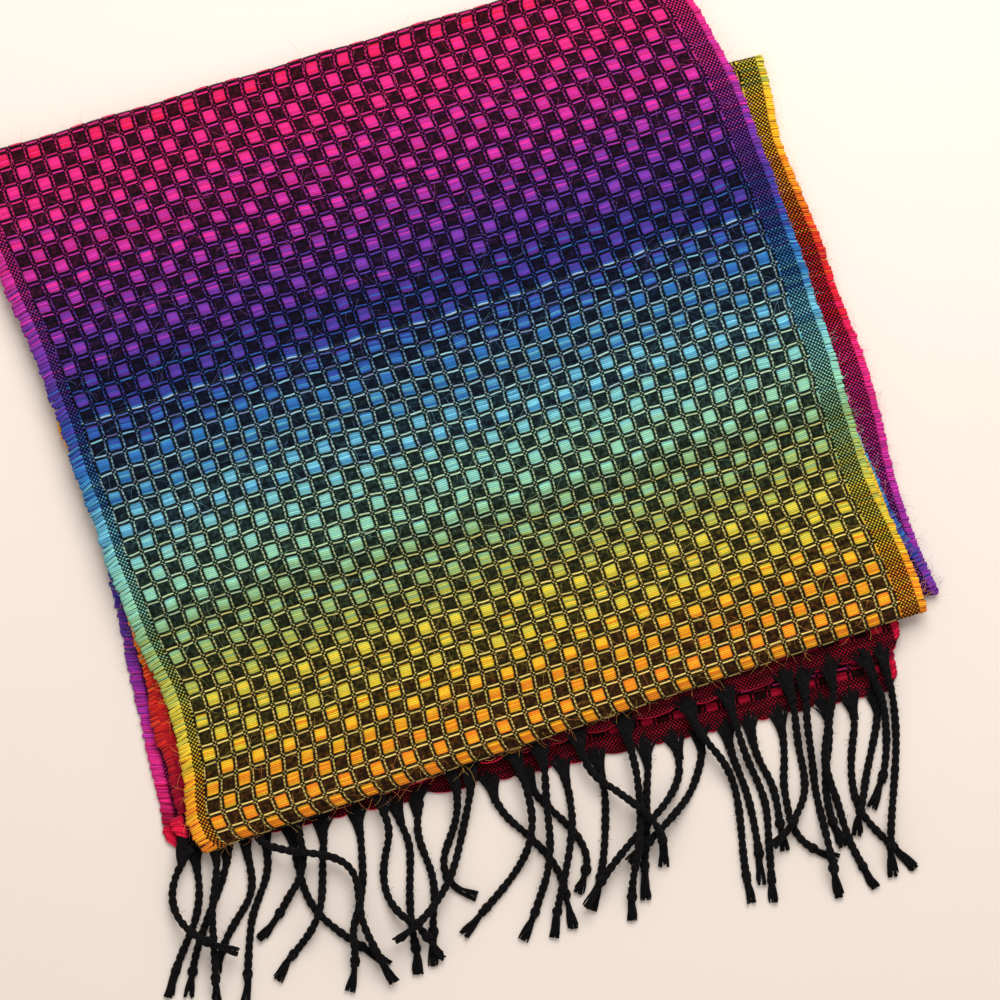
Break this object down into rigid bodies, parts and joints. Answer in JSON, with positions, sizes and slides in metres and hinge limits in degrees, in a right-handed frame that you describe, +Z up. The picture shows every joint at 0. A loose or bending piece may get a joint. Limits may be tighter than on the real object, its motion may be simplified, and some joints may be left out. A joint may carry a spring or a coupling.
{
  "type": "folded scarf",
  "caption": "Handwoven checked scarf folded into a flat stack, with plain-weave hems and a twisted cord fringe on both ends.",
  "frame": {"origin": "on the underside of the bottom layer, near the middle of the folded stack", "axes": "+X along the weft of the top layer, +Y towards the far folds, +Z up; the fringes lie towards -Y"},
  "size_m": [0.345, 0.3874, 0.0112],
  "materials": {
    "woven_cloth": "checked weave, rainbow weft on black warp",
    "hem_cloth": "plain weave, crimson weft on black warp",
    "fringe_yarn": "twisted yarn"
  },
  "bodies": {
    "bottom": {"layer_1_bottom": "woven_cloth", "fold_1_to_2": "woven_cloth", "lower_hem": "hem_cloth", "lower_fringe_cord_01": "fringe_yarn", "lower_fringe_cord_02": "fringe_yarn", "lower_fringe_cord_03": "fringe_yarn", "lower_fringe_cord_04": "fringe_yarn", "lower_fringe_cord_05": "fringe_yarn", "lower_fringe_cord_06": "fringe_yarn", "lower_fringe_cord_07": "fringe_yarn", "lower_fringe_cord_08": "fringe_yarn", "lower_fringe_cord_09": "fringe_yarn", "lower_fringe_cord_10": "fringe_yarn", "lower_fringe_cord_11": "fringe_yarn", "lower_fringe_cord_12": "fringe_yarn", "lower_fringe_cord_13": "fringe_yarn", "lower_fringe_cord_14": "fringe_yarn", "lower_fringe_cord_15": "fringe_yarn", "lower_fringe_cord_16": "fringe_yarn", "lower_fringe_cord_17": "fringe_yarn", "lower_fringe_cord_18": "fringe_yarn", "lower_fringe_cord_19": "fringe_yarn", "lower_fringe_cord_20": "fringe_yarn", "lower_fringe_cord_21": "fringe_yarn", "lower_fringe_cord_22": "fringe_yarn"},
    "second": {"layer_2": "woven_cloth", "fold_2_to_3": "woven_cloth"},
    "third": {"layer_3": "woven_cloth", "fold_3_to_6": "woven_cloth"},
    "top": {"layer_6_top": "woven_cloth", "fold_6_to_5": "woven_cloth", "layer_5_tucked": "woven_cloth", "fold_5_to_4": "woven_cloth", "layer_4_tucked": "woven_cloth", "upper_hem": "hem_cloth", "upper_fringe_cord_01": "fringe_yarn", "upper_fringe_cord_02": "fringe_yarn", "upper_fringe_cord_03": "fringe_yarn", "upper_fringe_cord_04": "fringe_yarn", "upper_fringe_cord_05": "fringe_yarn", "upper_fringe_cord_06": "fringe_yarn", "upper_fringe_cord_07": "fringe_yarn", "upper_fringe_cord_08": "fringe_yarn", "upper_fringe_cord_09": "fringe_yarn", "upper_fringe_cord_10": "fringe_yarn", "upper_fringe_cord_11": "fringe_yarn", "upper_fringe_cord_12": "fringe_yarn", "upper_fringe_cord_13": "fringe_yarn", "upper_fringe_cord_14": "fringe_yarn", "upper_fringe_cord_15": "fringe_yarn", "upper_fringe_cord_16": "fringe_yarn", "upper_fringe_cord_17": "fringe_yarn", "upper_fringe_cord_18": "fringe_yarn"}
  },
  "joints": [
    {"name": "far_fold_1_to_2", "type": "hinge", "parent": "bottom", "child": "second", "pos_m": [0.01215, 0.09517, 0.00165], "axis": [-0.9977, 0.068, 0], "range_deg": [0, 90], "deforming": ["fold_1_to_2"]},
    {"name": "near_fold_2_to_3", "type": "hinge", "parent": "second", "child": "third", "pos_m": [0.00896, -0.13165, 0.00345], "axis": [0.9997, -0.0225, 0], "range_deg": [0, 160], "deforming": ["fold_2_to_3"]},
    {"name": "far_fold_3_to_6", "type": "hinge", "parent": "third", "child": "top", "pos_m": [-0.00409, 0.1396, 0.00705], "axis": [-0.9994, 0.0342, 0], "range_deg": [0, 160], "deforming": ["fold_3_to_6"]}
  ],
  "couplings": [
    {"joint": "near_fold_2_to_3", "follows": "far_fold_3_to_6", "ratio": 1}
  ]
}
